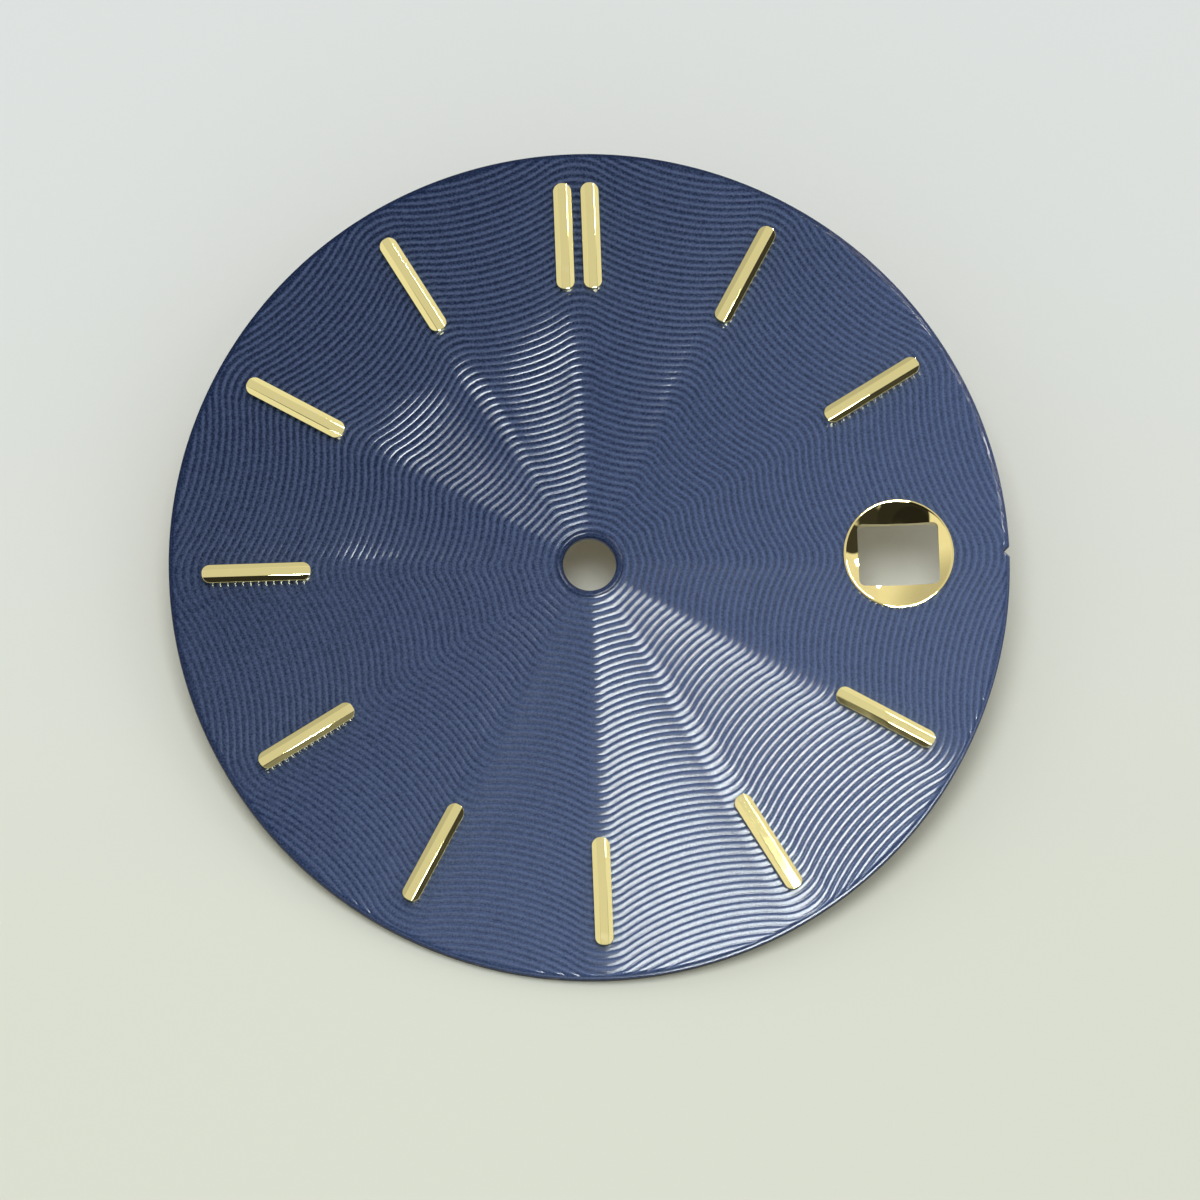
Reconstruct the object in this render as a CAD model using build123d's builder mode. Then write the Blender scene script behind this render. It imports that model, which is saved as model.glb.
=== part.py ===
"""Watch dial with wave guilloche, twelve applied hour batons and a dished date frame.

Millimetres. The origin is on the axis of the centre hole, in the plate's back face.
+Z points out of the dial towards the reader, +Y to 12 o'clock and +X to 3 o'clock.
"""

import os
from math import ceil, cos, radians, sin, sqrt

from build123d import *

os.makedirs("parts", exist_ok=True)

# Dial plate
dial_diameter = 28.5
plate_thickness = 0.4
rim_band_width = 0.27
rim_chamfer = 0.04
notch_width = 0.36
notch_depth = 0.2
centre_hole_diameter = 1.8
lip_width = 0.24
lip_height = 0.06
lip_chamfer = 0.04

# Guilloche: closed wavy rings between V grooves, every ring a scaled copy of one outline.
# The outline has a crest on each hour and a hollow midway between two hours. A ring's
# radius is measured in its hollows, and its crests reach the crest share of that.
hour_count = 12
ring_pitch = 0.2387
first_ring_radius = 1.05
crest_share = 1.0781
groove_depth = 0.06
groove_bottom_share = 0.5

# Hour batons: flat top between two long bevels, upright sides and rounded ends
baton_length = 3.68
baton_width = 0.62
baton_end_radius = 0.28
baton_wall_height = 0.34
baton_bevel_width = 0.17
baton_bevel_drop = 0.08
baton_rim_gap = 1.11
pair_gap = 0.31

# Baton feet, which end flush with the plate's back. They are drawn eight-sided
baton_foot_radius = 0.16
baton_foot_sides = 8
baton_foot_inset = 0.74
foot_clearance = 0.01

# Date frame: a spigot pressed into the plate, a flange on its face and a dished top
frame_diameter = 3.74
frame_rim_gap = 1.9
frame_height = 0.15
frame_lip_width = 0.06
frame_lip_chamfer = 0.02
frame_seat_diameter = 3.5
frame_clearance = 0.01
frame_dish_radius = 4.4
window_width = 2.75
window_height = 2.12
window_corner_radius = 0.2

# Dial feet
dial_foot_radius = 0.35
dial_foot_length = 2.5
dial_foot_rim_gap = 1.75
dial_foot_tip_chamfer = 0.08
dial_foot_base_radius = 0.75
dial_foot_base_height = 0.12
dial_foot_base_chamfer = 0.04
dial_foot_turn_shares = {"dial_foot_right": 0.3, "dial_foot_left": 0.761}

# How far a cutting shape runs past the face that it cuts
overrun = 0.5

# Derived sizes
dial_radius = dial_diameter / 2
field_radius = dial_radius - rim_band_width
centre_hole_radius = centre_hole_diameter / 2
lip_radius = centre_hole_radius + lip_width
frame_radius = frame_diameter / 2
frame_seat_radius = frame_seat_diameter / 2
baton_height = baton_wall_height + baton_bevel_drop
baton_circle_radius = dial_radius - baton_rim_gap - baton_length / 2
frame_circle_radius = dial_radius - frame_rim_gap - frame_radius
dial_foot_circle_radius = dial_radius - dial_foot_rim_gap
baton_foot_place = baton_length / 2 - baton_foot_inset
pair_offset = (baton_width + pair_gap) / 2


def clock_direction(hour):
    """Direction from the dial's centre to an hour."""
    turn = radians(360 * hour / hour_count)
    return Vector(sin(turn), cos(turn), 0)


def clock_plane(hour, radius, height=0.0, sideways=0.0):
    """Plane parallel to the dial at an hour: its Y points outward and its X clockwise."""
    outward = clock_direction(hour)
    clockwise = Vector(outward.Y, -outward.X, 0)
    place = outward * radius + clockwise * sideways + Vector(0, 0, height)
    return Plane(origin=place, x_dir=clockwise, z_dir=(0, 0, 1))


# Where each baton stands: its name, its hour and how far it is moved clockwise
batons = [("index_12_left", 0, -pair_offset), ("index_12_right", 0, pair_offset)]
for hour in range(1, hour_count):
    if hour != 3:
        batons.append((f"index_{hour:02d}", hour, 0.0))


def ringed_wedge(start, end):
    """Wedge of the plate between two corners of the rings, where all rings run straight.

    A corner is given as a vector to a ring's corner, in shares of the ring's radius.
    """
    along = (start - end).normalized()
    outward = Vector(along.Y, -along.X, 0)
    straight_share = outward.dot(start)
    section = [(0, 0), (0, plate_thickness)]
    for ring in range(ceil((dial_radius / straight_share - first_ring_radius) / ring_pitch) + 1):
        ridge = first_ring_radius + ring_pitch * ring
        valley = ridge + ring_pitch * groove_bottom_share
        section.append((ridge * straight_share, plate_thickness))
        section.append((valley * straight_share, plate_thickness - groove_depth))
    section.append((section[-1][0], 0))
    with BuildPart() as wedge:
        with BuildSketch(Plane(origin=(0, 0, 0), x_dir=outward, z_dir=-along)):
            Polygon(*section, align=None)
        extrude(amount=dial_diameter, both=True)
        with BuildSketch():
            Polygon((0, 0), tuple(start * dial_diameter), tuple(end * dial_diameter), align=None)
        extrude(amount=plate_thickness, mode=Mode.INTERSECT)
    return wedge.part


# The two wedges of one lobe: down the slope behind a crest, and up to the next crest
crest = clock_direction(0) * crest_share
hollow = clock_direction(0.5)
next_crest = clock_direction(1) * crest_share
lobe_wedges = [ringed_wedge(crest, hollow), ringed_wedge(hollow, next_crest)]

# Outline of the ringed field, with the seat of the date frame and the batons' foot holes
with BuildPart() as field:
    with BuildSketch():
        Circle(field_radius)
        Circle(lip_radius, mode=Mode.SUBTRACT)
    extrude(amount=plate_thickness)
    with BuildSketch(clock_plane(3, frame_circle_radius)):
        Circle(frame_seat_radius)
    extrude(amount=plate_thickness, mode=Mode.SUBTRACT)
    for name, hour, sideways in batons:
        with BuildSketch(clock_plane(hour, baton_circle_radius, 0, sideways)):
            with Locations((0, -baton_foot_place), (0, baton_foot_place)):
                RegularPolygon(baton_foot_radius + foot_clearance, baton_foot_sides)
        extrude(amount=plate_thickness, mode=Mode.SUBTRACT)

# Rim band with its bevel and the locating notch at 3 o'clock
with BuildPart() as rim:
    with BuildSketch():
        Circle(dial_radius)
        Circle(field_radius, mode=Mode.SUBTRACT)
    extrude(amount=plate_thickness)
    top_circles = rim.edges().filter_by(GeomType.CIRCLE).group_by(Axis.Z)[-1]
    chamfer(top_circles.sort_by(SortBy.RADIUS)[-1], rim_chamfer)
    with BuildSketch(clock_plane(3, dial_radius)):
        Polygon(
            (-notch_width / 2, 0),
            (0, -notch_depth),
            (notch_width / 2, 0),
            (notch_width / 2, overrun),
            (-notch_width / 2, overrun),
            align=None,
        )
    extrude(amount=plate_thickness, mode=Mode.SUBTRACT)

# Raised lip round the centre hole
with BuildPart() as lip:
    with BuildSketch():
        Circle(lip_radius)
        Circle(centre_hole_radius, mode=Mode.SUBTRACT)
    extrude(amount=plate_thickness + lip_height)
    chamfer(lip.edges().group_by(Axis.Z)[-1], lip_chamfer)

# Dial plate: every wedge is turned to its lobe and trimmed, and all are joined at once
plate_pieces = [rim.part, lip.part]
for lobe in range(hour_count):
    for wedge in lobe_wedges:
        plate_pieces.append(Rot(0, 0, -360 * lobe / hour_count) * wedge & field.part)

with BuildPart() as dial_plate:
    add(plate_pieces)

dial_plate.part.label = "dial_plate"
export_step(dial_plate.part, "parts/dial_plate.step")


def export_baton(name, hour, sideways):
    """Baton lying along its hour's radius, with the two feet that hold it."""
    seat = clock_plane(hour, baton_circle_radius, plate_thickness, sideways)
    end = Plane(
        origin=seat.from_local_coords((0, baton_length / 2, 0)),
        x_dir=seat.x_dir,
        z_dir=-seat.y_dir,
    )
    half_width = baton_width / 2
    half_top = half_width - baton_bevel_width
    with BuildPart() as baton:
        with BuildSketch(seat):
            RectangleRounded(baton_width, baton_length, baton_end_radius)
        extrude(amount=baton_height)
        with BuildSketch(end):
            Polygon(
                (-half_width, 0),
                (half_width, 0),
                (half_width, baton_wall_height),
                (half_top, baton_height),
                (-half_top, baton_height),
                (-half_width, baton_wall_height),
                align=None,
            )
        extrude(amount=baton_length, mode=Mode.INTERSECT)
        with BuildSketch(clock_plane(hour, baton_circle_radius, 0, sideways)):
            with Locations((0, -baton_foot_place), (0, baton_foot_place)):
                RegularPolygon(baton_foot_radius, baton_foot_sides)
        extrude(amount=plate_thickness)
    baton.part.label = name
    export_step(baton.part, f"parts/{name}.step")


for name, hour, sideways in batons:
    export_baton(name, hour, sideways)


# Date frame: the dish is a hollow of a ball, so its window's long sides lie deeper than
# its corners
dish_edge_radius = frame_radius - frame_lip_width
dish_centre_height = plate_thickness + frame_height + sqrt(frame_dish_radius**2 - dish_edge_radius**2)

with BuildPart() as date_frame:
    with BuildSketch(clock_plane(3, frame_circle_radius)):
        Circle(frame_seat_radius - frame_clearance)
    extrude(amount=plate_thickness)
    with BuildSketch(clock_plane(3, frame_circle_radius, plate_thickness)):
        Circle(frame_radius)
    extrude(amount=frame_height)
    with Locations(clock_plane(3, frame_circle_radius, dish_centre_height)):
        Sphere(frame_dish_radius, mode=Mode.SUBTRACT)
    top_edges = date_frame.edges().filter_by(GeomType.CIRCLE).group_by(Axis.Z)[-1]
    chamfer(top_edges.sort_by(SortBy.RADIUS)[-1], frame_lip_chamfer)
    with BuildSketch(clock_plane(3, frame_circle_radius)):
        RectangleRounded(window_height, window_width, window_corner_radius)
    extrude(amount=plate_thickness + frame_height, mode=Mode.SUBTRACT)

date_frame.part.label = "date_frame"
export_step(date_frame.part, "parts/date_frame.step")


def export_dial_foot(name, hour):
    """Pin that stands on a flared base on the plate's back."""
    back = clock_plane(hour, dial_foot_circle_radius)
    with BuildPart() as dial_foot:
        with BuildSketch(Plane(origin=back.origin, z_dir=(0, 0, -1))):
            Circle(dial_foot_base_radius)
        extrude(amount=dial_foot_base_height)
        chamfer(dial_foot.edges().group_by(Axis.Z)[0], dial_foot_base_chamfer)
        with BuildSketch(Plane(origin=back.origin, z_dir=(0, 0, -1))):
            Circle(dial_foot_radius)
        extrude(amount=dial_foot_length)
        chamfer(dial_foot.edges().group_by(Axis.Z)[0], dial_foot_tip_chamfer)
    dial_foot.part.label = name
    export_step(dial_foot.part, f"parts/{name}.step")


for name, turn_share in dial_foot_turn_shares.items():
    export_dial_foot(name, hour_count * turn_share)
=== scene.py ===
"""Watch dial with wave guilloche under blue lacquer, gold batons and a dished date frame.

Metres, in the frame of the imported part: +Z out of the dial, +Y to 12 o'clock, +X to 3 o'clock.
"""

from math import atan2, ceil, cos, degrees, hypot, pi, radians, sin, sqrt, tan

import bmesh
import bpy
from bpy.props import FloatProperty, FloatVectorProperty, IntProperty, PointerProperty
from mathutils import Euler, Matrix, Quaternion, Vector


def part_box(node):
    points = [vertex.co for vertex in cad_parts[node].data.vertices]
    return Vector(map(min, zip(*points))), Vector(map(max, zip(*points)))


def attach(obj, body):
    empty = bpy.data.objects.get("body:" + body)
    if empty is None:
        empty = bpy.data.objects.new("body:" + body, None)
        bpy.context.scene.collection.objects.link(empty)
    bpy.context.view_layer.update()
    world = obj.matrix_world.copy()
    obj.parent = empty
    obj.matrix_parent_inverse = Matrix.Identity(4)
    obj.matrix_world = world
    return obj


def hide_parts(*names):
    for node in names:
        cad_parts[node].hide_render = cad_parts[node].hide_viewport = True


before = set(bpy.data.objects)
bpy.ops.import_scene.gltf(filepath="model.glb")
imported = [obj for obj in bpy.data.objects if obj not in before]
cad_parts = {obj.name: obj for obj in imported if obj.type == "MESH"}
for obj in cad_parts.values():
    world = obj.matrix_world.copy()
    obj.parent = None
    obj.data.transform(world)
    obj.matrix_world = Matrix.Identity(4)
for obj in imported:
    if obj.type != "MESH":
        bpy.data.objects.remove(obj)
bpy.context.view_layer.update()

bl_info = {
    "name": "Watch dial",
    "version": (1, 0, 0),
    "blender": (4, 5, 0),
    "location": "3D View > Sidebar > Dial",
    "description": "Builds a lacquered guilloche watch dial round its packed CAD part",
    "category": "Object",
}

MM = 0.001
WELD = 0.0001 * MM  # corners that lie closer than this become one
NEAR = 0.001 * MM  # slack where a height or a radius is compared
CLEAR = 0.01 * MM  # distance from a face at which an edge no longer belongs to it
CRISP = 0.3  # edges that bend by more than this angle are rounded off

# How many faces go round each circle
RIM_STEPS = 720
HOLE_STEPS = 120
FOOT_HOLE_STEPS = 16
LIP_STEPS = 180
BATON_STEPS = 48
BATON_FOOT_STEPS = 24
DATE_FRAME_STEPS = 240
DIAL_FOOT_STEPS = 64

BODY = "root"
BATONS = {
    "index_12_left": 0, "index_12_right": 0, "index_01": 1, "index_02": 2, "index_04": 4,
    "index_05": 5, "index_06": 6, "index_07": 7, "index_08": 8, "index_09": 9, "index_10": 10,
    "index_11": 11,
}
RING_PIECES = {
    "rings_1": 0, "rings_3": 60, "rings_5": 120, "rings_7": 180, "rings_9": 240, "rings_11": 300,
}
DIAL_FEET = ("dial_foot_right", "dial_foot_left")
PLATE_FINISHES = ("blue_lacquer", "bare_brass", "dark_edge")


def length(name, description, millimetres):
    """A size that the sidebar shows as a length."""
    return FloatProperty(
        name=name, description=description, default=millimetres * MM, subtype="DISTANCE", unit="LENGTH",
        precision=6,
    )


def share(name, description, default):
    """A share of another size."""
    return FloatProperty(name=name, description=description, default=default, subtype="FACTOR")


def colour(name, description, default):
    """A colour that the sidebar shows as a swatch."""
    return FloatVectorProperty(
        name=name, description=description, default=default, size=3, min=0, max=1, subtype="COLOR",
    )


class PlateSettings(bpy.types.PropertyGroup):
    """Sizes of the plate round the ringed field."""

    radius: length("Radius", "Radius of the dial", 14.25)
    thickness: length("Thickness", "Height of the ridges above the plate's back", 0.4)
    web: length("Web", "Thickness of the metal that the ringed layer lies on", 0.3)
    field_radius: length("Field radius", "Radius at which the ringed layer stops", 14.16)
    rim_height: length("Rim height", "Height of the smooth band at the rim", 0.36)
    rim_slope: length("Rim slope", "Width over which the rings sink to the rim band", 0.085)
    rim_bevel: length("Rim bevel", "Rounding of the rim's upper edge", 0.06)
    hole_radius: length("Hole radius", "Radius of the centre hole", 0.9)
    lip_radius: length("Lip radius", "Outer radius of the lip round the centre hole", 1.14)
    lip_height: length("Lip height", "How far the lip stands above the ridges", 0.06)
    notch_width: length("Notch width", "Width of the locating notch at 3 o'clock", 0.36)
    notch_depth: length("Notch depth", "Depth of the locating notch", 0.2)
    seat_radius: length("Seat radius", "Radius of the hole that holds the date frame", 1.75)
    foot_hole_radius: length("Foot hole radius", "Radius of the holes for the batons' feet", 0.17)


class RingSettings(bpy.types.PropertyGroup):
    """Sizes of the wave guilloche."""

    first_radius: length("First ring", "Radius of the innermost ring, which is round", 1.289)
    pitch: length("Pitch", "Distance between two rings midway between two hours", 0.2387)
    depth: length("Depth", "Depth of the valleys below the ridges where they are deepest", 0.0176)
    hollow: share("Hollow", "Radius of a ring's hollow arcs, as a share of the ring", 0.5771)
    crest: share("Crest", "Radius of a ring's crest arcs, as a share of the ring", 0.1205)
    lobes: IntProperty(name="Lobes", description="Number of crests round the dial", default=12)
    samples: IntProperty(name="Samples", description="Rows of faces across one ring", default=10)
    turn_steps: IntProperty(name="Turn steps", description="Faces along a sixth of a turn", default=120)


class BatonSettings(bpy.types.PropertyGroup):
    """Sizes of the hour batons."""

    length: length("Length", "Length of a baton", 3.68)
    width: length("Width", "Width of a baton", 0.62)
    end_radius: length("End radius", "Radius of the rounded ends", 0.28)
    wall_height: length("Wall height", "Height of the upright sides", 0.34)
    bevel_width: length("Bevel width", "Width of the long bevels", 0.17)
    bevel_drop: length("Bevel drop", "Height of the long bevels", 0.08)
    rounding: length("Rounding", "Rounding of the polished edges", 0.012)
    foot_radius: length("Foot radius", "Radius of a baton's feet", 0.16)
    foot_inset: length("Foot inset", "Distance of a foot from the baton's end", 0.74)


class DateFrameSettings(bpy.types.PropertyGroup):
    """Sizes of the dished date frame."""

    radius: length("Radius", "Outer radius of the frame", 1.87)
    height: length("Height", "Height of the frame above the plate", 0.15)
    lip: length("Lip", "Width of the flat lip round the dish", 0.06)
    spigot_radius: length("Spigot radius", "Radius of the part in the plate", 1.74)
    dish_radius: length("Dish radius", "Radius of the ball that hollows the dish", 4.4)
    window_width: length("Window width", "Width of the window, along 3 o'clock", 2.75)
    window_height: length("Window height", "Height of the window", 2.12)
    corner: length("Corner", "Radius of the window's corners", 0.2)
    rounding: length("Rounding", "Rounding of the lip's edges", 0.018)
    rows: IntProperty(name="Rows", description="Rows of faces across the dish", default=12)


class FootSettings(bpy.types.PropertyGroup):
    """Sizes of the two dial feet."""

    radius: length("Radius", "Radius of the pin", 0.35)
    base_radius: length("Base radius", "Radius of the flared base", 0.75)
    base_height: length("Base height", "Height of the flared base", 0.12)
    flare: length("Flare", "Radius of the hollow between base and pin", 0.1)
    flare_steps: IntProperty(name="Flare steps", description="Faces across the hollow", default=6)
    tip_bevel: length("Tip bevel", "Bevel at the pin's tip", 0.08)
    rounding: length("Rounding", "Rounding of the foot's edges", 0.03)


class FinishSettings(bpy.types.PropertyGroup):
    """Colours of the finishes."""

    # The blend from deep to thin lacquer also carries painted shade in the valleys and painted light
    # towards the lower right
    lacquer_deep: colour("Deep lacquer", "Lacquer that lies thick in a valley", (0.001, 0.009, 0.040))
    lacquer_thin: colour("Thin lacquer", "Lacquer that runs thin over a ridge", (0.080, 0.120, 0.250))
    # The plate's edge is given a dark, dull colour
    edge: colour("Edge", "Dull lacquer that ran down the plate's edge", (0.012, 0.015, 0.030))
    gold: colour("Gold", "Gold plate of the batons", (0.834, 0.730, 0.331))
    frame_gold: colour("Frame gold", "Gold plate of the date frame", (0.86, 0.72, 0.31))
    brass: colour("Brass", "Bare back of the plate", (0.60, 0.47, 0.25))
    copper: colour("Copper", "Bare copper of the dial feet", (0.66, 0.33, 0.20))


class StageSettings(bpy.types.PropertyGroup):
    """Floor, light and camera."""

    tilt: FloatProperty(
        name="Tilt", description="How far the dial leans on its feet", default=radians(11.1),
        subtype="ANGLE",
    )
    drop: length("Drop", "Depth of the floor below the centre of the plate's back", 2.8)
    floor_far: colour("Far floor", "Floor beyond 12 o'clock", (0.745, 0.775, 0.765))
    floor_near: colour("Near floor", "Floor before 6 o'clock", (0.72, 0.75, 0.65))
    lens: FloatProperty(name="Lens", description="Focal length in millimetres", default=354.4)
    distance: length("Distance", "Distance of the camera from the dial", 400)


class Number:
    """A shader's number, which adds a Math node for each sum that it takes part in."""

    def __init__(self, nodes, socket):
        self.nodes = nodes
        self.socket = socket

    def math(self, operation, *operands):
        return self.nodes.number("ShaderNodeMath", {"operation": operation}, dict(enumerate(operands)))

    def __add__(self, other):
        return self.math("ADD", self, other)

    def __sub__(self, other):
        return self.math("SUBTRACT", self, other)

    def __mul__(self, other):
        return self.math("MULTIPLY", self, other)


class Nodes:
    """The node tree of a material or of the world, emptied and filled anew."""

    def __init__(self, owner):
        owner.use_nodes = True
        self.tree = owner.node_tree
        self.tree.nodes.clear()

    def add(self, kind, settings=None, inputs=None):
        """Any node: its settings come first, then the values or links of its sockets."""
        node = self.tree.nodes.new(kind)
        for key, value in (settings or {}).items():
            setattr(node, key, value)
        for key, value in (inputs or {}).items():
            socket = node.inputs[key]
            if isinstance(value, Number):
                self.tree.links.new(value.socket, socket)
            elif isinstance(value, bpy.types.NodeSocket):
                self.tree.links.new(value, socket)
            elif isinstance(value, (int, float)):
                socket.default_value = value
            else:
                alpha = [1.0] * (len(socket.default_value) - len(value))
                socket.default_value = list(value) + alpha
        return node

    def number(self, kind, settings=None, inputs=None, output=0):
        """One output of a new node, to calculate with."""
        return Number(self, self.add(kind, settings, inputs).outputs[output])

    def place(self):
        """Where a point lies on the piece."""
        return self.add("ShaderNodeTexCoord").outputs["Object"]

    def axis(self, place, letter):
        """One coordinate of a place."""
        return self.number("ShaderNodeSeparateXYZ", None, {0: place}, letter)

    def noise(self, place, size, detail=2.0):
        """Noise whose lumps are about so large, from 0 to 1."""
        return self.number(
            "ShaderNodeTexNoise", None, {"Vector": place, "Scale": 1 / size, "Detail": detail},
        )

    def step(self, value, low, high):
        """Smooth step of a number between two values."""
        return self.number(
            "ShaderNodeMapRange", {"interpolation_type": "SMOOTHSTEP"},
            {"Value": value, "From Min": low, "From Max": high},
        )

    def blend(self, factor, first, second):
        """Colour between two colours."""
        colours = {0: factor, 6: first, 7: second}
        return self.add("ShaderNodeMix", {"data_type": "RGBA"}, colours).outputs[2]

    def bump(self, height, distance):
        """Normal that a height in shares of the distance gives."""
        inputs = {"Height": height, "Distance": distance}
        return self.add("ShaderNodeBump", None, inputs).outputs["Normal"]

    def surface(self, inputs):
        """The one shader of a finish."""
        shader = self.add("ShaderNodeBsdfPrincipled", None, inputs).outputs["BSDF"]
        self.add("ShaderNodeOutputMaterial", None, {"Surface": shader})


def new_material(name):
    """Empty node tree of a new material."""
    return Nodes(bpy.data.materials.new(name))


def lacquer_finish(finish):
    """Blue lacquer, dark in the valleys and light over the ridges, partly from its thickness and partly
    painted shade, and lighter towards the lower right by painted light.
    """
    nodes = new_material("blue_lacquer")
    place = nodes.place()
    ridge = nodes.number("ShaderNodeAttribute", {"attribute_name": RIDGE_LAYER}, None, "Fac")
    cloud = nodes.noise(place, 3 * MM)
    flake = nodes.step(nodes.noise(place, 0.06 * MM, 3.0), 0.3, 0.7)
    # Painted light: the lacquer's colour runs lighter towards the lower right, where the light falls
    # stronger
    across = nodes.axis(place, "X") * 0.77 - nodes.axis(place, "Y") * 0.64
    painted_light_lower_right = nodes.step(across, -14 * MM, 14 * MM)
    # The blend mixes thin lacquer with painted shade in the valleys and painted light at the lower right
    thinness_and_painted_light = ridge * 0.5 + cloud * 0.1 + flake * 0.4 + painted_light_lower_right * 0.5 - 0.22
    nodes.surface({
        "Base Color": nodes.blend(thinness_and_painted_light, finish.lacquer_deep, finish.lacquer_thin),
        "Metallic": 0.0,
        "Roughness": flake * 0.1 + 0.28,
        "Coat Weight": 1.0,
        "Coat Roughness": 0.085,
        "Coat IOR": 1.207,
        "Specular IOR Level": 0.04,
        "Normal": nodes.bump(flake, 0.0006 * MM),
    })


def edge_finish(finish):
    """Dark, dull finish on the plate's edge, with brass showing through where it is worn."""
    nodes = new_material("dark_edge")
    place = nodes.place()
    grain = nodes.noise(place, 0.05 * MM, 3.0)
    worn = nodes.step(nodes.noise(place, 0.6 * MM, 4.0), 0.62, 0.8)
    nodes.surface({
        "Base Color": nodes.blend(worn * 0.3, finish.edge, finish.brass),
        "Roughness": grain * 0.2 + 0.5,
        "Specular IOR Level": 0.3,
        "Normal": nodes.bump(grain, 0.004 * MM),
    })


def brass_finish(finish):
    """Bare brass with the fine circles of a facing cut and a few dull stains."""
    nodes = new_material("bare_brass")
    place = nodes.place()
    flat = {0: nodes.axis(place, "X"), 1: nodes.axis(place, "Y")}
    flat = nodes.add("ShaderNodeCombineXYZ", None, flat).outputs[0]
    radius = nodes.number("ShaderNodeVectorMath", {"operation": "LENGTH"}, {0: flat}, "Value")
    circles = nodes.number(
        "ShaderNodeTexNoise", {"noise_dimensions": "1D"},
        {"W": radius, "Scale": 1 / (0.04 * MM), "Detail": 3.0},
    )
    stain = nodes.step(nodes.noise(place, 4 * MM, 4.0), 0.5, 0.75)
    pale = nodes.blend(circles * 0.5 + 0.2, finish.brass, (0.74, 0.60, 0.36))
    nodes.surface({
        "Base Color": nodes.blend(stain * 0.35, pale, (0.33, 0.24, 0.13)),
        "Metallic": 1.0,
        "Roughness": circles * 0.2 + stain * 0.15 + 0.25,
        "Normal": nodes.bump(circles, 0.003 * MM),
    })


def gold_finish(name, tint, roughness, waviness):
    """Polished gold plate, a little wavy, with hairlines too fine to see singly."""
    nodes = new_material(name)
    place = nodes.place()
    wave = nodes.noise(place, 0.9 * MM, 1.0)
    hairline = nodes.noise(place, 0.02 * MM, 2.0)
    worn = nodes.step(nodes.noise(place, 0.5 * MM, 3.0), 0.55, 0.8)
    nodes.surface({
        "Base Color": nodes.blend(worn * 0.12, tint, (0.93, 0.86, 0.62)),
        "Metallic": 1.0,
        "Roughness": hairline * 0.03 + worn * 0.02 + roughness,
        "Normal": nodes.bump(wave + hairline * 0.01, waviness),
    })


def copper_finish(finish):
    """Drawn copper, darker where it was welded on."""
    nodes = new_material("drawn_copper")
    place = nodes.place()
    stretched = {"Vector": place, "Scale": (1, 1, 0.05)}
    stretched = nodes.add("ShaderNodeMapping", None, stretched).outputs[0]
    drawn = nodes.noise(stretched, 0.03 * MM)
    heat = nodes.step(nodes.axis(place, "Z"), -0.5 * MM, 0.0)
    nodes.surface({
        "Base Color": nodes.blend(heat * 0.6 + drawn * 0.2, finish.copper, (0.26, 0.12, 0.08)),
        "Metallic": 1.0,
        "Roughness": drawn * 0.2 + 0.28,
        "Normal": nodes.bump(drawn, 0.004 * MM),
    })


def clock(radius, turn, height=0.0):
    """Point at a clock angle, in degrees clockwise from 12."""
    return Vector((radius * sin(radians(turn)), radius * cos(radians(turn)), height))


def clock_angle(point):
    """Clock angle of a point, from 0 to 360 degrees."""
    return degrees(atan2(point.x, point.y)) % 360


def field_edge(plate, turn):
    """Radius at which the ringed layer stops at a clock angle, which gives way to the notch."""
    aside = abs(radians(turn - 90))
    if aside > plate.notch_width / plate.radius:
        return plate.field_radius
    tip = plate.radius - plate.notch_depth - plate.rim_bevel
    slope = plate.notch_depth / (plate.notch_width / 2)
    return min(plate.field_radius, tip / (cos(aside) - slope * sin(aside)))


def linked(name, bm, finishes):
    """Object of a bmesh in its finishes, linked to the scene."""
    mesh = bpy.data.meshes.new(name)
    bm.to_mesh(mesh)
    bm.free()
    for finish in finishes:
        mesh.materials.append(bpy.data.materials[finish])
    made = bpy.data.objects.new(name, mesh)
    bpy.context.scene.collection.objects.link(made)
    return made


def finished(name, bm, finishes, node, sharp=30, flat_from=1.0):
    """Make the piece of a bmesh, riding on the body and standing for a node.

    It is smooth but for the edges that bend by more than so many degrees and for the faces that
    are larger than a flat facet's area.
    """
    for face in bm.faces:
        face.smooth = face.calc_area() < flat_from
    for edge in bm.edges:
        if not edge.is_manifold or edge.calc_face_angle(0) > radians(sharp):
            edge.smooth = False
    piece = linked(name, bm, finishes)
    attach(piece, BODY)
    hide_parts(node)


def on_plate(box):
    """Centre of a piece's box, in the plane of the plate's back."""
    low, high = box
    middle = (low + high) / 2
    return Vector((middle.x, middle.y, 0))


def of_kind(items, kind):
    """Those of a mesh's elements that are vertices, edges or faces."""
    return [item for item in items if isinstance(item, kind)]


def raise_faces(bm, faces, height):
    """Extrude faces upward, leave them as the underside, and return the top's vertices."""
    raised = bmesh.ops.extrude_face_region(bm, geom=faces, use_keep_orig=True)
    top = of_kind(raised["geom"], bmesh.types.BMVert)
    bmesh.ops.translate(bm, verts=top, vec=(0, 0, height))
    return top


def fill_flat(bm, edges):
    """Fill the flat shape between edges with triangles that look down, and return them."""
    filled = bmesh.ops.triangle_fill(
        bm, use_beauty=True, use_dissolve=False, edges=edges, normal=(0, 0, -1),
    )
    return of_kind(filled["geom"], bmesh.types.BMFace)


def crisp_edges(bm, angle, wanted):
    """Edges that bend by more than an angle and whose ends are both wanted."""
    return [
        edge for edge in bm.edges if edge.calc_face_angle(0) > angle and all(map(wanted, edge.verts))
    ]


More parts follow.
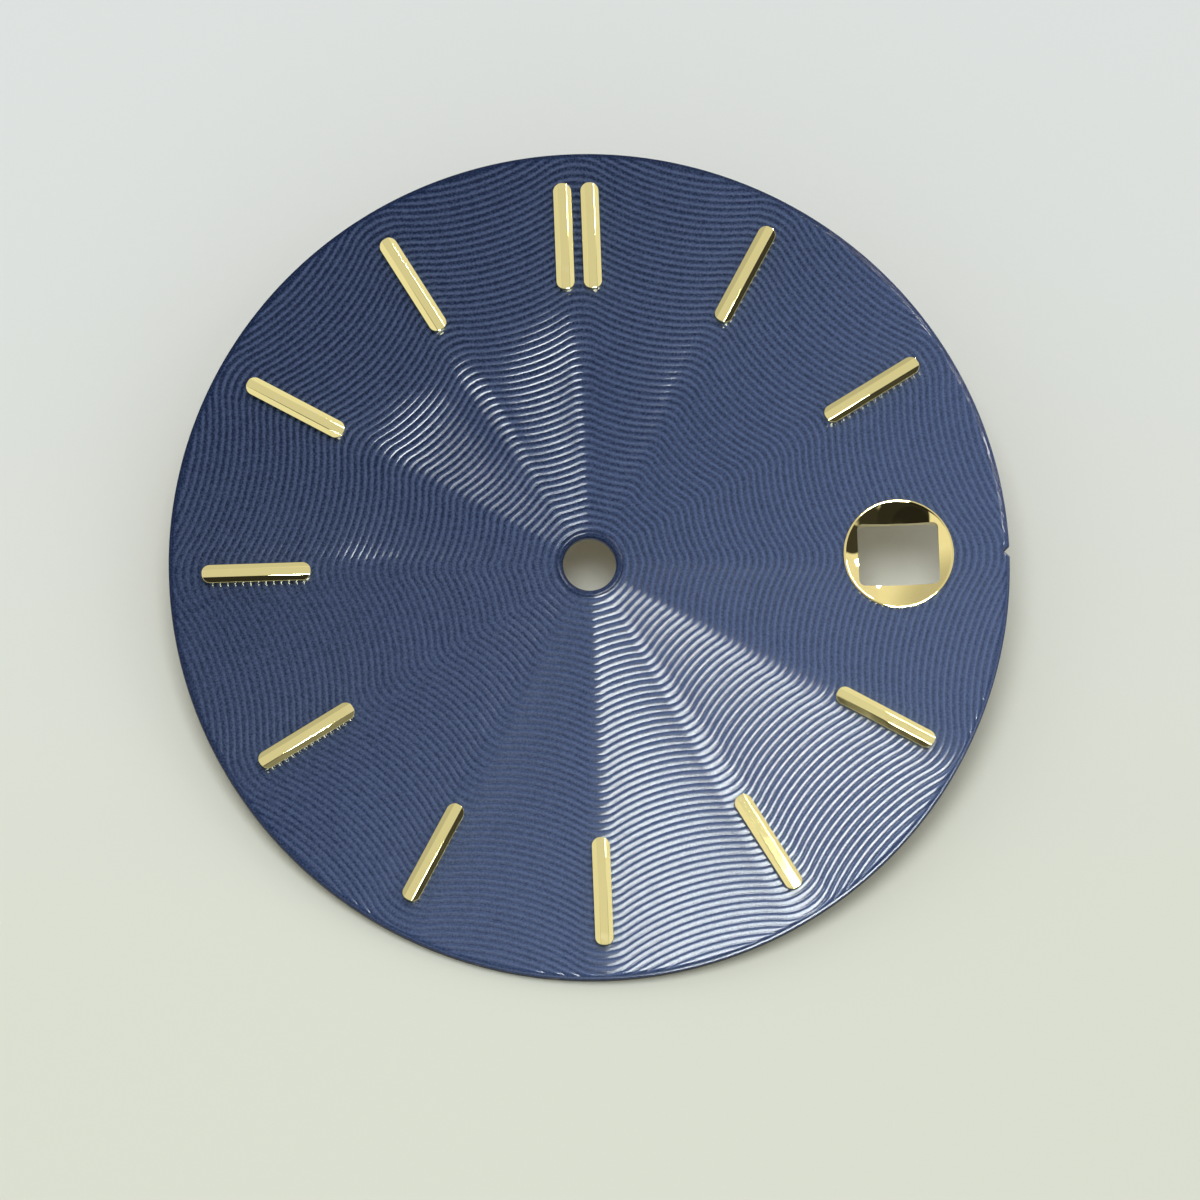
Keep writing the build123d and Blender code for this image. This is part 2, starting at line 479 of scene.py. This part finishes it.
def turned(bm, section, steps, centre=(0, 0, 0)):
    """Add a section of (radius, height) points, spun once round an upright axis."""
    centre = Vector(centre)
    verts = [bm.verts.new(centre + Vector((radius, 0, height))) for radius, height in section]
    edges = [bm.edges.new(pair) for pair in zip(verts, verts[1:] + verts[:1])]
    before = set(bm.faces)
    bmesh.ops.spin(
        bm, geom=verts + edges, cent=centre, axis=(0, 0, 1), dvec=(0, 0, 0), angle=2 * pi,
        steps=steps, use_merge=True, use_duplicate=False,
    )
    bmesh.ops.remove_doubles(bm, verts=bm.verts, dist=WELD)
    faces = [face for face in bm.faces if face not in before]
    bmesh.ops.recalc_face_normals(bm, faces=faces)


def rounded(bm, edges, size, segments=3):
    """Round edges off."""
    bmesh.ops.bevel(
        bm, geom=edges, offset=size, offset_type="OFFSET", segments=segments, profile=0.5, affect="EDGES",
        clamp_overlap=True, material=-1,
    )


class RingOutline:
    """Outline of the rings, whose hollow arcs and crest arcs touch one another."""

    def __init__(self, rings):
        self.half_lobe = pi / rings.lobes
        self.hollow = rings.hollow
        self.crest = rings.crest
        self.hollow_centre = 1 + self.hollow
        across = self.hollow_centre * sin(self.half_lobe)
        out = self.hollow_centre * cos(self.half_lobe)
        both = self.hollow + self.crest
        self.crest_centre = out - sqrt(both**2 - across**2)
        part = self.crest / both
        self.touch = atan2(across * part, self.crest_centre + (out - self.crest_centre) * part)

    def reach(self, turn):
        """Share of the ring's radius that it reaches at a clock angle."""
        from_crest = abs((radians(turn) + self.half_lobe) % (2 * self.half_lobe) - self.half_lobe)
        if from_crest < self.touch:
            across = self.crest_centre * sin(from_crest)
            return self.crest_centre * cos(from_crest) + sqrt(self.crest**2 - across**2)
        from_hollow = self.half_lobe - from_crest
        across = self.hollow_centre * sin(from_hollow)
        return self.hollow_centre * cos(from_hollow) - sqrt(self.hollow**2 - across**2)


# The relief across one ring: how far its first three waves rise and lean
RING_WAVES = ((0.197, 0.122), (0.028, -0.095), (-0.035, 0.002))


def relief(ring):
    """Height across a ring whose ridge lies on the whole numbers."""
    height = 0
    for count, (rise, lean) in enumerate(RING_WAVES, 1):
        turn = 2 * pi * count * ring
        height += rise * cos(turn) + lean * sin(turn)
    return height


RELIEF_STEPS = 200
RELIEF_TOP = max(relief(step / RELIEF_STEPS) for step in range(RELIEF_STEPS))
RELIEF_BOTTOM = min(relief(step / RELIEF_STEPS) for step in range(RELIEF_STEPS))

# The lacquer is thinnest so many rings inside the ridge, over a width that falls with the power; the
# darker valleys between are partly painted shade
THIN_INSIDE = 0.08
THIN_POWER = 1.5
# The vertex layer that tells the lacquer where it lies thin and where painted shade darkens the valleys,
# and its value where contrast is lost
RIDGE_LAYER = "ridge"
RIDGE_MIDDLE = 0.42
# Contrast of the ridge tone, part lacquer and part painted shade, lost at the lower left by painted
# light, and depth lost at the upper left from a radius outward
PAINTED_SHADE_LOSS = 0.5
CUT_LOSS = 0.7
CUT_LOSS_FROM = 5.3 * MM
CUT_LOSS_WIDTH = 4 * MM


def eased(amount):
    """Smooth step from 0 to 1."""
    amount = min(max(amount, 0), 1)
    return amount * amount * (3 - 2 * amount)


def facing(turn, towards, start, width):
    """How far a clock angle faces another: 0 until the cosine's start and 1 a width further."""
    return eased((cos(radians(turn - towards)) - start) / width)


def ridge_and_painted_shade(ring):
    """How far the lacquer has run off the ridge that lies on the whole numbers, with painted shade in the
    valleys between.
    """
    return (0.5 + 0.5 * cos(2 * pi * (ring + THIN_INSIDE))) ** THIN_POWER


def painted_shade_share(turn):
    """Share of the contrast across a ring, part thin lacquer and part painted shade, which is faint at
    the lower left, where light reaches the valleys.
    """
    return 1 - PAINTED_SHADE_LOSS * facing(turn, 238, 0.45, 0.4)


def cut_share(radius, turn):
    """Share of the relief's depth: the rings fade towards the rim at the upper left."""
    outward = eased((radius - CUT_LOSS_FROM) / CUT_LOSS_WIDTH)
    return 1 - CUT_LOSS * outward * facing(turn, 322, -0.1, 0.5)


# The lip's top from outside inward: share of its width and drop in shares of its height
LIP_CURVE = (
    (0, 0.85), (0.06, 0.38), (0.17, 0.1), (0.29, 0), (0.42, 0.1), (0.54, 0.32), (0.67, 0.65),
    (0.77, 1.08), (0.87, 1.67), (0.95, 2.3), (1, 3.2),
)
NOTCH_TIP = 0.1  # degrees from 3 o'clock within which the rim's corner is the notch's tip
NOTCH_SIDE = 0.6  # and within which it is a side of the notch
LOOKS_DOWN = -0.9  # faces of the plate with a lower normal are its back
LOOKS_UP = 0.5  # and those with a higher one its face


class DIAL_OT_plate(bpy.types.Operator):
    """Make the plate's web, its rim band with the notch, and the lip round the centre hole"""

    bl_idname = "dial.plate"
    bl_label = "Plate"

    def execute(self, context):
        scene = context.scene
        plate = scene.dial_plate
        bm = bmesh.new()
        self.web(bm, plate, scene.dial_batons)
        self.rim(bm, plate)
        self.lip(bm, plate)
        for face in bm.faces:
            if face.normal.z < LOOKS_DOWN:
                face.material_index = PLATE_FINISHES.index("bare_brass")
            elif face.normal.z < LOOKS_UP and self.past_field(plate, face.calc_center_median()):
                face.material_index = PLATE_FINISHES.index("dark_edge")
        finished("plate", bm, PLATE_FINISHES, "dial_plate")
        return {"FINISHED"}

    def past_field(self, plate, point, slack=0.0):
        """Whether a point lies outside the ringed layer."""
        return point.to_2d().length > field_edge(plate, clock_angle(point)) + slack

    def web(self, bm, plate, batons):
        """Flat web with its seat and foot holes, which the ringed layer covers."""
        seat = on_plate(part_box("date_frame"))
        holes = [
            (Vector((0, 0, 0)), plate.lip_radius, HOLE_STEPS), (seat, plate.seat_radius, HOLE_STEPS),
        ]
        for node, hour in BATONS.items():
            for foot in baton_feet(node, hour, batons):
                holes.append((foot, plate.foot_hole_radius, FOOT_HOLE_STEPS))
        self.outline(bm, plate)
        for centre, radius, steps in holes:
            self.circle(bm, radius, steps, centre)
        raise_faces(bm, fill_flat(bm, bm.edges), plate.web)
        bmesh.ops.recalc_face_normals(bm, faces=bm.faces)

    def circle(self, bm, radius, steps, centre=(0, 0, 0)):
        """Open circle in the plane of the plate's back."""
        return bmesh.ops.create_circle(
            bm, cap_ends=False, radius=radius, segments=steps, matrix=Matrix.Translation(centre),
        )

    def outline(self, bm, plate):
        """Loop round the ringed layer, as its vertices."""
        made = self.circle(bm, plate.field_radius, RIM_STEPS)
        for vert in made["verts"]:
            vert.co *= field_edge(plate, clock_angle(vert.co)) / plate.field_radius
        return made["verts"]

    def rim(self, bm, plate):
        """Rim band with a bevel above and a V notch at 3 o'clock."""
        before = set(bm.faces)
        loops = [self.circle(bm, plate.radius, RIM_STEPS)["verts"], self.outline(bm, plate)]
        for vert in loops[0]:
            from_notch = clock_angle(vert.co) - 90
            if abs(from_notch) < NOTCH_TIP:
                vert.co.x -= plate.notch_depth
            elif abs(from_notch) < NOTCH_SIDE:
                vert.co.y = plate.notch_width / 2 * (-1 if from_notch > 0 else 1)
        edges = {edge for loop in loops for vert in loop for edge in vert.link_edges}
        bridged = bmesh.ops.bridge_loops(bm, edges=list(edges))
        top = set(raise_faces(bm, bridged["faces"], plate.rim_height))
        faces = [face for face in bm.faces if face not in before]
        bmesh.ops.recalc_face_normals(bm, faces=faces)
        outer = []
        for edge in bm.edges:
            if top.issuperset(edge.verts) and edge.is_manifold and edge.calc_face_angle(0) > 1:
                middle = (edge.verts[0].co + edge.verts[1].co) / 2
                if self.past_field(plate, middle, CLEAR):
                    outer.append(edge)
        rounded(bm, outer, plate.rim_bevel, 4)

    def lip(self, bm, plate):
        """Lip round the centre hole, steep outside and rolling over into the hole."""
        top = plate.thickness + plate.lip_height
        wide = plate.lip_radius - plate.hole_radius
        section = [(plate.hole_radius, 0), (plate.lip_radius, 0)]
        for across, drop in LIP_CURVE:
            section.append((plate.lip_radius - wide * across, top - plate.lip_height * drop))
        turned(bm, section, LIP_STEPS)


class DIAL_OT_rings(bpy.types.Operator):
    """Make the wave guilloche, a sixth of the dial at a time"""

    bl_idname = "dial.rings"
    bl_label = "Rings"

    def execute(self, context):
        scene = context.scene
        for name, start in RING_PIECES.items():
            self.sector(name, start, scene.dial_plate, scene.dial_rings)
        return {"FINISHED"}

    def sector(self, name, start, plate, rings):
        """A sixth of the ringed layer, from a spoke that is spun clockwise."""
        bm = bmesh.new()
        inside = -1
        outside = ceil((plate.field_radius - rings.first_radius) / rings.pitch)
        radii = [rings.first_radius + rings.pitch * ring for ring in (inside, outside)]
        edge = bm.edges.new([bm.verts.new(clock(radius, start)) for radius in radii])
        bmesh.ops.subdivide_edges(bm, edges=[edge], cuts=(outside - inside) * rings.samples - 1)
        bmesh.ops.spin(
            bm, geom=bm.verts[:] + bm.edges[:], cent=(0, 0, 0), axis=(0, 0, -1), dvec=(0, 0, 0),
            angle=pi / 3, steps=rings.turn_steps, use_merge=False, use_duplicate=False,
        )
        self.shape(bm, plate, rings)
        bmesh.ops.remove_doubles(bm, verts=bm.verts, dist=2 * WELD)
        self.open_seat(bm, plate)
        self.close_below(bm, plate)
        finished(name, bm, ["blue_lacquer"], "dial_plate", 60)

    def shape(self, bm, plate, rings):
        """Wave every ring, sink its valley, and note where the lacquer lies thin and where painted shade
        darkens the valley.

        Both the relief and the lacquer's contrast run out at the rim band.
        """
        outline = RingOutline(rings)
        layer = bm.verts.layers.float.new(RIDGE_LAYER)
        reaches = {}
        for vert in bm.verts:
            radius = hypot(vert.co.x, vert.co.y)
            turn = round(clock_angle(vert.co), 3)
            if turn not in reaches:
                reaches[turn] = outline.reach(turn)
            spread = rings.pitch * reaches[turn]
            ring = (radius - rings.first_radius) / rings.pitch
            waved = rings.first_radius + ring * spread
            edge = field_edge(plate, turn)
            waved = min(max(waved, plate.lip_radius), edge)
            ring = (waved - rings.first_radius) / spread
            vert.co *= waved / radius
            sunk = (RELIEF_TOP - relief(ring)) / (RELIEF_TOP - RELIEF_BOTTOM)
            run_out = eased((waved - edge) / plate.rim_slope + 1)
            ringed = plate.thickness - rings.depth * cut_share(waved, turn) * sunk
            vert.co.z = ringed + (plate.rim_height - ringed) * run_out
            # Thin lacquer and painted valley shade, fainter at the lower left by painted light
            thin_and_shaded = RIDGE_MIDDLE + (ridge_and_painted_shade(ring) - RIDGE_MIDDLE) * painted_shade_share(turn)
            vert[layer] = thin_and_shaded * (1 - run_out)

    def open_seat(self, bm, plate):
        """Clear the seat of the date frame to a clean circle."""
        seat = on_plate(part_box("date_frame")).to_2d()
        cleared = plate.seat_radius + 0.04 * MM
        pulled = plate.seat_radius + 0.1 * MM
        inside = [
            face for face in bm.faces
            if all((vert.co.to_2d() - seat).length < cleared for vert in face.verts)
        ]
        if not inside:
            return
        bmesh.ops.delete(bm, geom=inside, context="FACES")
        for vert in bm.verts:
            arm = vert.co.to_2d() - seat
            if vert.is_boundary and arm.length < pulled:
                arm *= plate.seat_radius / arm.length
                vert.co.x, vert.co.y = seat + arm

    def close_below(self, bm, plate):
        """Walls down to the web and a flat underside."""
        border = [edge for edge in bm.edges if edge.is_boundary]
        walls = bmesh.ops.extrude_edge_only(bm, edges=border)["geom"]
        for vert in of_kind(walls, bmesh.types.BMVert):
            vert.co.z = plate.web
        under = [edge for edge in of_kind(walls, bmesh.types.BMEdge) if edge.is_boundary]
        fill_flat(bm, under)
        bmesh.ops.recalc_face_normals(bm, faces=bm.faces)


def baton_place(node, hour):
    """Where a baton stands, as a matrix whose Y points outward and X clockwise."""
    turn = Matrix.Rotation(-radians(30 * hour), 4, "Z")
    return Matrix.Translation(on_plate(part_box(node))) @ turn


def baton_feet(node, hour, batons):
    """Centres of a baton's two feet in the plate's back."""
    reach = batons.length / 2 - batons.foot_inset
    return [baton_place(node, hour) @ Vector((0, side * reach, 0)) for side in (-1, 1)]


class DIAL_OT_batons(bpy.types.Operator):
    """Make the twelve hour batons with their feet"""

    bl_idname = "dial.batons"
    bl_label = "Batons"

    def execute(self, context):
        scene = context.scene
        for node, hour in BATONS.items():
            self.baton(node, hour, scene.dial_plate, scene.dial_batons)
        return {"FINISHED"}

    def baton(self, node, hour, plate, batons):
        """A rounded block whose long edges are cut to bevels, and its two feet."""
        bm = bmesh.new()
        made = bmesh.ops.create_circle(
            bm, cap_ends=True, radius=batons.end_radius, segments=BATON_STEPS,
            matrix=Matrix.Rotation(pi / BATON_STEPS, 4, "Z"),
        )
        spread = Vector((batons.width / 2 - batons.end_radius, batons.length / 2 - batons.end_radius))
        for vert in made["verts"]:
            vert.co.x += spread.x if vert.co.x > 0 else -spread.x
            vert.co.y += spread.y if vert.co.y > 0 else -spread.y
        raise_faces(bm, bm.faces[:], batons.wall_height + batons.bevel_drop)
        slope = atan2(batons.bevel_drop, batons.bevel_width)
        for side in (-1, 1):
            cut = bmesh.ops.bisect_plane(
                bm, geom=bm.verts[:] + bm.edges[:] + bm.faces[:], dist=WELD,
                plane_co=(side * batons.width / 2, 0, batons.wall_height),
                plane_no=(side * sin(slope), 0, cos(slope)), clear_outer=True,
            )
            bmesh.ops.contextual_create(bm, geom=of_kind(cut["geom_cut"], bmesh.types.BMEdge))
        bmesh.ops.recalc_face_normals(bm, faces=bm.faces)
        bmesh.ops.translate(bm, verts=bm.verts, vec=(0, 0, plate.thickness))
        crisp = crisp_edges(bm, CRISP, lambda vert: vert.co.z > plate.thickness + CLEAR)
        rounded(bm, crisp, batons.rounding)
        bmesh.ops.transform(bm, matrix=baton_place(node, hour), verts=bm.verts)
        half_way = Vector((0, 0, plate.thickness / 2))
        for foot in baton_feet(node, hour, batons):
            bmesh.ops.create_cone(
                bm, cap_ends=True, segments=BATON_FOOT_STEPS, radius1=batons.foot_radius,
                radius2=batons.foot_radius, depth=plate.thickness,
                matrix=Matrix.Translation(foot + half_way),
            )
        facet = 0.1 * MM**2
        name = node.replace("index", "baton")
        finished(name, bm, ["baton_gold"], node, 25, facet)


class DIAL_OT_date_frame(bpy.types.Operator):
    """Make the dished date frame round its window"""

    bl_idname = "dial.date_frame"
    bl_label = "Date frame"

    def execute(self, context):
        scene = context.scene
        plate = scene.dial_plate
        date = scene.dial_date_frame
        bm = bmesh.new()
        top = plate.thickness + date.height
        inner = date.window_height / 2
        edge = date.radius - date.lip
        dish = [(inner + (edge - inner) * row / date.rows, top) for row in range(date.rows + 1)]
        section = dish + [
            (date.radius, top), (date.radius, plate.thickness), (date.spigot_radius, plate.thickness),
            (date.spigot_radius, 0), (inner, 0),
        ]
        turned(bm, section, DATE_FRAME_STEPS)
        ball_height = top + sqrt(date.dish_radius**2 - edge**2)
        self.open_window(bm, date, inner, edge, top, ball_height)
        rim = crisp_edges(
            bm, CRISP, lambda vert: vert.co.z > top - NEAR and vert.co.to_2d().length > edge - NEAR,
        )
        rounded(bm, rim, date.rounding)
        bmesh.ops.translate(bm, verts=bm.verts, vec=on_plate(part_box("date_frame")))
        finished("date_frame_dish", bm, ["frame_gold"], "date_frame", 25)
        return {"FINISHED"}

    def open_window(self, bm, date, inner, edge, top, ball_height):
        """Spread the round bore to the window's outline, and hollow the dish."""
        for vert in bm.verts:
            radius = vert.co.to_2d().length
            if radius > edge + NEAR:
                continue
            ray = vert.co.to_2d() / radius
            outline = self.window_reach(date, ray)
            spread = outline + (edge - outline) * (radius - inner) / (edge - inner)
            vert.co.x, vert.co.y = ray * spread
            if vert.co.z > top - NEAR:
                vert.co.z = ball_height - sqrt(date.dish_radius**2 - spread**2)

    def window_reach(self, date, ray):
        """How far the window's outline lies along a ray from its centre."""
        half = Vector((date.window_width / 2, date.window_height / 2))
        tiny = 1e-9
        ray = Vector((max(abs(ray.x), tiny), max(abs(ray.y), tiny)))
        straight = min(half.x / ray.x, half.y / ray.y)
        corner = Vector((half.x - date.corner, half.y - date.corner))
        point = ray * straight
        if point.x > corner.x and point.y > corner.y:
            along = corner.dot(ray)
            return along + sqrt(max(along**2 - corner.length_squared + date.corner**2, 0))
        return straight


class DIAL_OT_feet(bpy.types.Operator):
    """Make the two copper feet on the plate's back"""

    bl_idname = "dial.feet"
    bl_label = "Dial feet"

    def execute(self, context):
        feet = context.scene.dial_feet
        for node in DIAL_FEET:
            low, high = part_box(node)
            bm = bmesh.new()
            section = [
                (0, 0), (feet.base_radius, 0), (feet.base_radius, -feet.base_height),
                (feet.radius + feet.flare, -feet.base_height),
            ]
            for step in range(1, feet.flare_steps):
                turn = pi / 2 * step / feet.flare_steps
                out, down = 1 - sin(turn), 1 - cos(turn)
                section.append((feet.radius + feet.flare * out, -feet.base_height - feet.flare * down))
            section += [
                (feet.radius, -feet.base_height - feet.flare), (feet.radius, low.z + feet.tip_bevel),
                (feet.radius - feet.tip_bevel, low.z), (0, low.z),
            ]
            turned(bm, section, DIAL_FOOT_STEPS, on_plate((low, high)))
            rounded(bm, crisp_edges(bm, 0.5, lambda vert: vert.co.z < -CLEAR), feet.rounding)
            name = node.replace("dial_foot", "foot_pin")
            finished(name, bm, ["drawn_copper"], node)
        return {"FINISHED"}


class DIAL_OT_finishes(bpy.types.Operator):
    """Make the lacquer, gold, brass and copper that the pieces are finished in"""

    bl_idname = "dial.finishes"
    bl_label = "Finishes"

    def execute(self, context):
        finish = context.scene.dial_finish
        lacquer_finish(finish)
        edge_finish(finish)
        brass_finish(finish)
        gold_finish("baton_gold", finish.gold, 0.03, 0.002 * MM)
        gold_finish("frame_gold", finish.frame_gold, 0.01, 0.003 * MM)
        copper_finish(finish)
        return {"FINISHED"}


# Patches of the room: azimuth clockwise from 12, elevation, where the patch ends and where it is
# full, in degrees from its centre, and its brightness, where white is 1
ROOM = (
    (10, 84, 30, 14, 0.79),
    (327, 26, 46, 14, 0.6),
    (51, 25, 25, 23, 0.95),
    (93, 45, 13, 11, 0.05),
    (127, 55, 16, 9, 0.04),
    (186, 68, 24, 22, 0.03),
    (209, 73, 18, 16, 0.02),
)
ROOM_COLOUR = (1.0, 1.0, 0.98)
LIGHT_COLOUR = (0.55, 0.55, 0.54)  # the room as it lights what doesn't mirror it
SEEN_COLOUR = (0.85, 0.86, 0.84)  # the room as the camera sees it past the floor

# Soft lamps: azimuth and elevation in degrees, distance and sides in millimetres, turn in degrees,
# brightness, where white is 1, tint, and the way of seeing them that is switched off
LAMPS = (
    ("lamp_by_camera", 122.4, 79.8, 143, (51, 22), 23, 86, (0.93, 1.0, 0.98), "visible_diffuse"),
    ("lamp_right", 50, 46, 300, (150, 18), 0, 80, (1, 1, 1), "visible_diffuse"),
    ("lamp_above", 345, 78, 400, (170, 170), 0, 7.9, (1, 1, 1), "visible_glossy"),
)
FLOOR_SIZE = 2.0
LEAN_TOWARDS = (0.19, 0.98, 0)  # where the leaning dial stands furthest from the floor
# The camera as it was fitted to the photograph: its turn in degrees and its shift in millimetres
CAMERA_TURN = (10.855, -1.658, -2.167)
CAMERA_SHIFT = (0.3474, -1.2263)
SENSOR_WIDTH = 36


def sky_direction(azimuth, elevation):
    """Direction to a place in the room, clockwise from 12 and up from the dial's plane."""
    return clock(cos(radians(elevation)), azimuth, sin(radians(elevation)))


class DIAL_OT_stage(bpy.types.Operator):
    """Lay the floor under the leaning dial, and set the light and the camera"""

    bl_idname = "dial.stage"
    bl_label = "Stage"

    def execute(self, context):
        stage = context.scene.dial_stage
        self.floor(stage)
        self.sky(context)
        self.camera(context, stage, context.scene.dial_plate)
        for lamp in LAMPS:
            self.lamp(*lamp)
        return {"FINISHED"}

    def floor(self, stage):
        """Floor through the tips of the dial feet and the rim's lowest point, just past 6 o'clock."""
        lean = Vector(LEAN_TOWARDS).normalized() * tan(stage.tilt)
        normal = Vector((lean.x, lean.y, 1)).normalized()
        bm = bmesh.new()
        bmesh.ops.create_grid(bm, x_segments=1, y_segments=1, size=FLOOR_SIZE)
        turn = Vector((0, 0, 1)).rotation_difference(normal).to_matrix().to_4x4()
        down = Matrix.Translation((0, 0, -stage.drop))
        bmesh.ops.transform(bm, matrix=down @ turn, verts=bm.verts)
        nodes = new_material("pale_floor")
        place = nodes.place()
        near = nodes.step(nodes.axis(place, "Y"), 20 * MM, -20 * MM)
        grain = nodes.noise(place, 0.4 * MM, 3.0)
        nodes.surface({
            "Base Color": nodes.blend(near, stage.floor_far, stage.floor_near),
            "Roughness": 0.9,
            "Specular IOR Level": 0.2,
            "Normal": nodes.bump(grain, 0.01 * MM),
        })
        floor = linked("floor", bm, ["pale_floor"])

    def sky(self, context):
        """Pale room all round, as the polished gold shows it."""
        world = bpy.data.worlds.new("room")
        context.scene.world = world
        nodes = Nodes(world)
        direction = nodes.add("ShaderNodeTexCoord").outputs["Generated"]
        shade = ROOM_COLOUR
        for azimuth, elevation, outer, inner, brightness in ROOM:
            both = {0: direction, 1: sky_direction(azimuth, elevation)}
            dot_product = {"operation": "DOT_PRODUCT"}
            towards = nodes.number("ShaderNodeVectorMath", dot_product, both, "Value")
            patch = nodes.step(towards, cos(radians(outer)), cos(radians(inner)))
            shade = nodes.blend(patch, shade, (brightness,) * 3)
        mirrored = nodes.number("ShaderNodeLightPath", None, None, "Is Glossy Ray")
        shade = nodes.blend(mirrored, LIGHT_COLOUR, shade)
        seen = nodes.number("ShaderNodeLightPath", None, None, "Is Camera Ray")
        shade = nodes.blend(seen, shade, SEEN_COLOUR)
        room = nodes.add("ShaderNodeBackground", None, {"Color": shade, "Strength": 1.0}).outputs[0]
        nodes.add("ShaderNodeOutputWorld", None, {"Surface": room})

    def lamp(self, name, azimuth, elevation, distance, size, turn, brightness, tint, hidden):
        """Flat soft lamp that faces the dial, from a row of LAMPS."""
        light = bpy.data.lights.new(name, "AREA")
        light.shape = "RECTANGLE"
        light.size, light.size_y = (side * MM for side in size)
        light.energy = brightness * pi * light.size * light.size_y
        light.color = tint
        lamp = bpy.data.objects.new(name, light)
        away = sky_direction(azimuth, elevation)
        lamp.location = away * distance * MM
        facing = away.to_track_quat("Z", "Y") @ Quaternion((0, 0, 1), radians(turn))
        lamp.rotation_euler = facing.to_euler()
        setattr(lamp, hidden, False)
        bpy.context.scene.collection.objects.link(lamp)

    def camera(self, context, stage, plate):
        """Camera that looks at the plate's face as the photograph's did."""
        lens = bpy.data.cameras.new("camera")
        lens.sensor_width = SENSOR_WIDTH
        lens.lens = stage.lens
        camera = bpy.data.objects.new("camera", lens)
        camera.rotation_euler = Euler([radians(turn) for turn in CAMERA_TURN], "XYZ")
        sideways, upward = CAMERA_SHIFT
        offset = Vector((sideways * MM, upward * MM, stage.distance))
        camera.location = camera.rotation_euler.to_matrix() @ offset + Vector((0, 0, plate.thickness))
        context.scene.collection.objects.link(camera)
        context.scene.camera = camera
        context.scene.view_settings.view_transform = "Standard"


class DIAL_PT_pieces(bpy.types.Panel):
    """The dial's pieces, with the sizes they are made to"""

    bl_idname = "DIAL_PT_pieces"
    bl_label = "Watch dial"
    bl_space_type = "VIEW_3D"
    bl_region_type = "UI"
    bl_category = "Dial"

    def draw(self, context):
        for operator, settings in STEPS:
            box = self.layout.box()
            box.operator(operator)
            if settings:
                group = getattr(context.scene, settings)
                for name in group.bl_rna.properties.keys():
                    if name not in ("rna_type", "name"):
                        box.prop(group, name)


STEPS = (
    ("dial.finishes", "dial_finish"),
    ("dial.plate", "dial_plate"),
    ("dial.rings", "dial_rings"),
    ("dial.batons", "dial_batons"),
    ("dial.date_frame", "dial_date_frame"),
    ("dial.feet", "dial_feet"),
    ("dial.stage", "dial_stage"),
)
SETTINGS = {
    "dial_plate": PlateSettings,
    "dial_rings": RingSettings,
    "dial_batons": BatonSettings,
    "dial_date_frame": DateFrameSettings,
    "dial_feet": FootSettings,
    "dial_finish": FinishSettings,
    "dial_stage": StageSettings,
}
CLASSES = (
    *SETTINGS.values(), DIAL_OT_finishes, DIAL_OT_plate, DIAL_OT_rings, DIAL_OT_batons,
    DIAL_OT_date_frame, DIAL_OT_feet, DIAL_OT_stage, DIAL_PT_pieces,
)


def register():
    for made in CLASSES:
        bpy.utils.register_class(made)
    for name, group in SETTINGS.items():
        setattr(bpy.types.Scene, name, PointerProperty(type=group))


def unregister():
    for name in SETTINGS:
        delattr(bpy.types.Scene, name)
    for made in reversed(CLASSES):
        bpy.utils.unregister_class(made)


def main():
    register()
    bpy.ops.dial.finishes()
    bpy.ops.dial.plate()
    bpy.ops.dial.rings()
    bpy.ops.dial.batons()
    bpy.ops.dial.date_frame()
    bpy.ops.dial.feet()
    bpy.ops.dial.stage()


if __name__ == "__main__":
    main()
